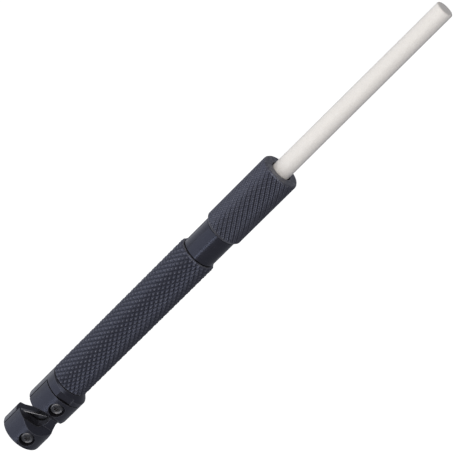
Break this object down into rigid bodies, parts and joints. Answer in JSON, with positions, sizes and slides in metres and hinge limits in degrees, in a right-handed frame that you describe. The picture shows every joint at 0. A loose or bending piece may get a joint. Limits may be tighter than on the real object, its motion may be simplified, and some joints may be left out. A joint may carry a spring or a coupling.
{
  "type": "knife sharpening steel",
  "caption": "Pocket sharpening steel: abrasive rod in a knurled collar that screws into a knurled barrel handle, with a V-notch carbide head at the rear.",
  "frame": {"origin": "centre of the handle's axis on the head's flat end face", "axes": "+X along the handle's axis towards the rod's tip, +Y out of the V notch, +Z out of the face that holds the cover screws"},
  "size_m": [0.1959, 0.0145, 0.0142],
  "materials": {
    "black_head": "satin black anodised",
    "black_knurl": "satin black anodised over knurling, crests worn lighter",
    "black_neck": "satin black anodised, turned",
    "screw_black": "black oxide",
    "carbide": "ground carbide",
    "steel": "plain bright",
    "abrasive": "fine diamond grit set in nickel, matte",
    "brass": "turned",
    "rubber": "moulded",
    "bush_plastic": "moulded"
  },
  "bodies": {
    "handle": {"barrel": "black_knurl", "head_body": "black_head", "head_cover": "black_head", "carbide_insert_rear": "carbide", "carbide_insert_front": "carbide", "cover_screw_rear": "screw_black", "cover_screw_front": "screw_black", "head_bolt": "steel", "head_bolt_washer": "steel", "head_bolt_lock_washer": "steel", "index_dowel": "steel", "storage_bumper": "rubber"},
    "seal_ring": {"neck_o_ring": "rubber"},
    "rod_holder": {"neck_tube": "black_neck", "knurled_collar": "black_knurl", "rod_grip_ring_rear": "rubber", "rod_grip_ring_front": "rubber", "mouth_bush": "bush_plastic"},
    "rod": {"diamond_rod": "abrasive", "rod_ferrule": "brass", "ferrule_pin": "steel"}
  },
  "joints": [
    {"name": "holder_travel", "type": "slide", "parent": "handle", "child": "seal_ring", "axis": [1, 0, 0], "range_m": [0, 0.012]},
    {"name": "holder_unscrew", "type": "hinge", "parent": "seal_ring", "child": "rod_holder", "pos_m": [0.0884, 0, 0], "axis": [1, 0, 0], "range_deg": [0, 2880]},
    {"name": "rod_slide", "type": "slide", "parent": "rod_holder", "child": "rod", "axis": [-1, 0, 0], "range_m": [0, 0.065]}
  ],
  "couplings": [
    {"joint": "holder_travel", "follows": "holder_unscrew", "m_per_rad": 0.00023873}
  ]
}
